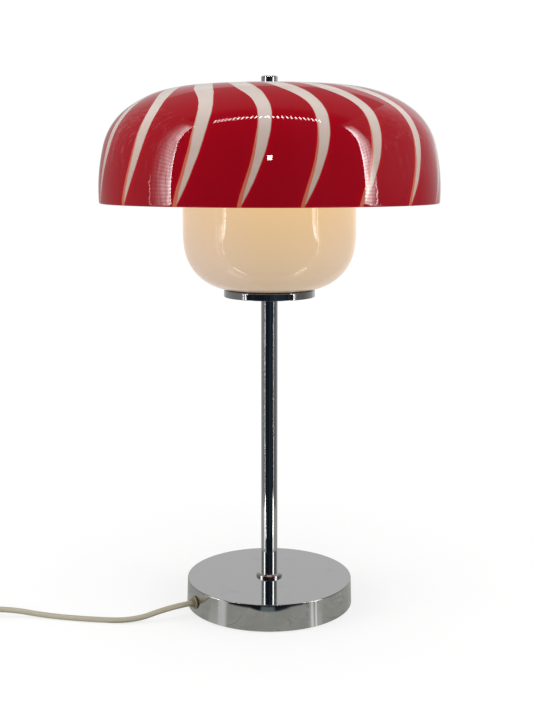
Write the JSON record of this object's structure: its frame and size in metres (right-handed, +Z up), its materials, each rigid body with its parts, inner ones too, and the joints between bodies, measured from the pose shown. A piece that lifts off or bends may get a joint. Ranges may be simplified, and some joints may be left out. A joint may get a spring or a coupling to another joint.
{
  "type": "mushroom table lamp",
  "caption": "Table lamp with a domed red and white striped glass shade over an opal diffuser, on a chromed stem and round weighted base, with cord, inline switch and plug.",
  "frame": {"origin": "centre of the foot pad's underside, on the table", "axes": "+Z up along the stem, -Y towards the viewer of the picture, +X to the viewer's right; the cord leaves the base at the left front"},
  "size_m": [0.5521, 0.3, 0.4799],
  "materials": {
    "foam": "matt closed-cell foam",
    "zinc_steel": "bright zinc plate",
    "cast_iron": "as cast, thin black coat",
    "chrome": "polished chrome plate",
    "ivory_plastic": "moulded, semi-gloss",
    "white_plastic": "moulded, semi-gloss",
    "clear_plastic": "soft clear plastic",
    "cord_jacket": "translucent ivory jacket",
    "wire_brown": "smooth insulation",
    "wire_blue": "smooth insulation",
    "black_rubber": "soft matt",
    "opal_glass": "glossy opal glass",
    "brass": "bright",
    "ceramic": "glazed ceramic",
    "bulb_glass": "clear blown glass",
    "solder": "soft solder",
    "black_glass": "glossy black glass",
    "filament": "phosphor coat, glows warm white when lit",
    "striped_glass": "glossy cased glass, red with white trailed stripes",
    "nickel_brass": "nickel-plated brass"
  },
  "bodies": {
    "lamp": {"foot_pad": "foam", "base_bottom_plate": "zinc_steel", "base_screws": "zinc_steel", "base_weight": "cast_iron", "base_cover": "chrome", "cord_grommet": "ivory_plastic", "grommet_nut": "ivory_plastic", "cord_clamp": "ivory_plastic", "cord_inside_base": "cord_jacket", "wire_live": "wire_brown", "wire_neutral": "wire_blue", "threaded_rod": "zinc_steel", "stem_tube": "chrome", "stem_collar": "chrome", "base_washer": "zinc_steel", "base_lock_washer": "zinc_steel", "base_nut": "zinc_steel", "gallery_plate": "chrome", "plate_gasket": "black_rubber", "diffuser_glass": "opal_glass", "clamp_gasket": "black_rubber", "clamp_washer": "zinc_steel", "clamp_nut": "brass", "holder_cap": "white_plastic", "holder_body": "white_plastic", "holder_insert": "ceramic", "holder_terminals": "brass", "holder_shell": "brass", "holder_contact": "brass", "harp_saddle": "chrome", "harp_wire": "chrome", "harp_boss": "chrome", "shade_stud": "zinc_steel", "shade_support": "chrome", "shade_washer_lower": "black_rubber", "switch_base": "ivory_plastic", "switch_cover": "ivory_plastic", "switch_axle": "zinc_steel", "switch_screws": "zinc_steel", "switch_contacts": "brass", "cord_lead": "cord_jacket", "cord_link": "cord_jacket", "cord_coil": "cord_jacket", "cord_tail": "cord_jacket", "plug_body": "ivory_plastic", "plug_pins": "nickel_brass"},
    "finial_washer": {"shade_washer_upper": "clear_plastic"},
    "finial": {"finial_nut": "chrome"},
    "shade": {"shade_glass": "striped_glass", "shade_bush": "clear_plastic"},
    "bulb": {"bulb_glass": "bulb_glass", "bulb_cap": "zinc_steel", "bulb_contact": "solder", "bulb_insulator": "black_glass", "bulb_stem": "bulb_glass", "bulb_filaments": "filament"},
    "rocker": {"switch_rocker": "ivory_plastic"}
  },
  "joints": [
    {"name": "finial_lift", "type": "slide", "parent": "lamp", "child": "finial_washer", "axis": [0, 0, 1], "range_m": [0, 0.0045]},
    {"name": "finial_turn", "type": "hinge", "parent": "finial_washer", "child": "finial", "pos_m": [0, 0, 0.47348], "axis": [0, 0, 1], "range_deg": [0, 1620]},
    {"name": "shade_turn", "type": "hinge", "parent": "lamp", "child": "shade", "pos_m": [0, 0, 0.3702], "axis": [0, 0, 1], "continuous": true},
    {"name": "bulb_turn", "type": "hinge", "parent": "lamp", "child": "bulb", "pos_m": [0, 0, 0.33667], "axis": [0, 0, 1], "range_deg": [0, 900]},
    {"name": "switch_rocker", "type": "hinge", "parent": "lamp", "child": "rocker", "pos_m": [-0.283, -0.042, 0.0165], "axis": [0, -1, 0], "range_deg": [0, 16]}
  ],
  "couplings": [
    {"joint": "finial_lift", "follows": "finial_turn", "m_per_rad": 0.00015915}
  ]
}
